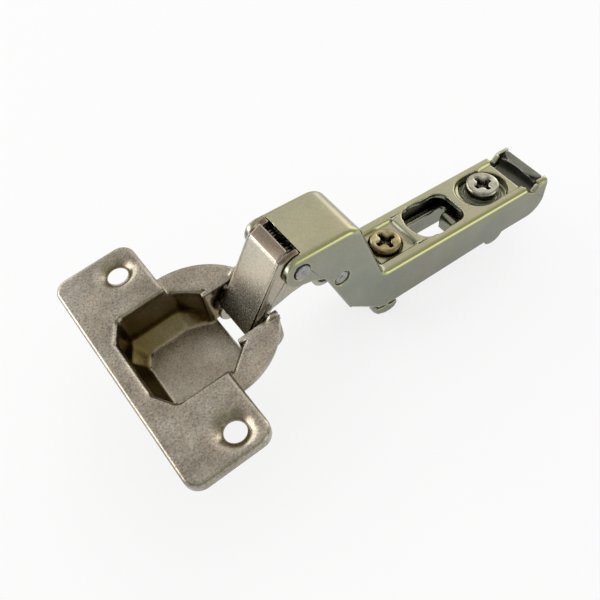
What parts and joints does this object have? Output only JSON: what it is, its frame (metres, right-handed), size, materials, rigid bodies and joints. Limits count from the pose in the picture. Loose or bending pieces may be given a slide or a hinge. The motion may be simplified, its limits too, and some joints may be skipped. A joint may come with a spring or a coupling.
{
  "type": "concealed cup hinge",
  "caption": "Concealed cabinet hinge with a pressed cup, a double link with torsion spring and a cranked clip-on arm with adjusting screws.",
  "frame": {"origin": "middle of the adapter's seat on the mounting plate", "axes": "+X to the rear of the arm, Y along the hinge pins, +Z off the mounting plate"},
  "size_m": [0.1158, 0.0598, 0.0396],
  "materials": {
    "cup": "nickel-plated pressed steel, fine matte grain",
    "outer_link": "nickel-plated pressed steel",
    "arm": "nickel-plated pressed steel with a warm olive cast",
    "inner_link": "nickel-plated pressed steel",
    "adapter": "nickel-plated pressed steel",
    "release_lever": "dark oxide finish",
    "side_screw": "zinc-plated, pale yellow",
    "depth_screw": "nickel-plated, bright",
    "toothed_washer": "nickel-plated",
    "spring": "oiled spring steel",
    "bush": "moulded",
    "pin": "bright steel"
  },
  "bodies": {
    "base": {"adapter": "adapter", "lever_pin": "pin", "lever_spring": "spring"},
    "lever": {"release_lever": "release_lever"},
    "clamp_screw": {"depth_screw": "depth_screw"},
    "washer": {"toothed_washer": "toothed_washer"},
    "arm": {"arm": "arm", "outer_link_rivet": "pin", "inner_link_rivet": "pin", "near_bush": "bush", "far_bush": "bush"},
    "side_adjuster": {"side_screw": "side_screw"},
    "outer": {"outer_link": "outer_link", "torsion_spring": "spring"},
    "cup": {"cup": "cup", "cup_front_pin": "pin", "cup_rear_pin": "pin"},
    "inner": {"inner_link": "inner_link"}
  },
  "joints": [
    {"name": "lever_press", "type": "hinge", "parent": "base", "child": "lever", "pos_m": [0.033, 0, -0.0026], "axis": [0, 1, 0], "range_deg": [0, 24], "stiffness_Nm_per_rad": 0.05, "springref_deg": -22.92},
    {"name": "depth_screw_turn", "type": "hinge", "parent": "base", "child": "clamp_screw", "pos_m": [0.023, 0, 0.005], "axis": [0, 0, 1], "range_deg": [0, 360]},
    {"name": "side_tilt", "type": "hinge", "parent": "base", "child": "washer", "pos_m": [0.023, 0, 0.0032], "axis": [0, 1, 0], "range_deg": [-1.8, 1.8]},
    {"name": "depth_slide", "type": "slide", "parent": "washer", "child": "arm", "axis": [1, 0, 0], "range_m": [-0.0015, 0.0005]},
    {"name": "side_screw_turn", "type": "hinge", "parent": "arm", "child": "side_adjuster", "pos_m": [-0.0077, 0, 0.004], "axis": [0, 0, 1], "range_deg": [-360, 360]},
    {"name": "outer_swing", "type": "hinge", "parent": "arm", "child": "outer", "pos_m": [-0.0367, 0, 0.0218], "axis": [0, 1, 0], "range_deg": [-12.6, 0]},
    {"name": "cup_fold", "type": "hinge", "parent": "outer", "child": "cup", "pos_m": [-0.04739, 0, 0.00502], "axis": [0, 1, 0], "range_deg": [0, 110.7], "stiffness_Nm_per_rad": 0.05, "springref_deg": -57.3},
    {"name": "inner_swing", "type": "hinge", "parent": "cup", "child": "inner", "pos_m": [-0.04464, 0, 0.00905], "axis": [0, 1, 0], "range_deg": [-130.6, 0]}
  ],
  "couplings": [
    {"joint": "outer_swing", "follows": "cup_fold", "ratio": -0.11292},
    {"joint": "inner_swing", "follows": "cup_fold", "ratio": -1.1789},
    {"joint": "side_screw_turn", "follows": "side_tilt", "ratio": -195}
  ]
}
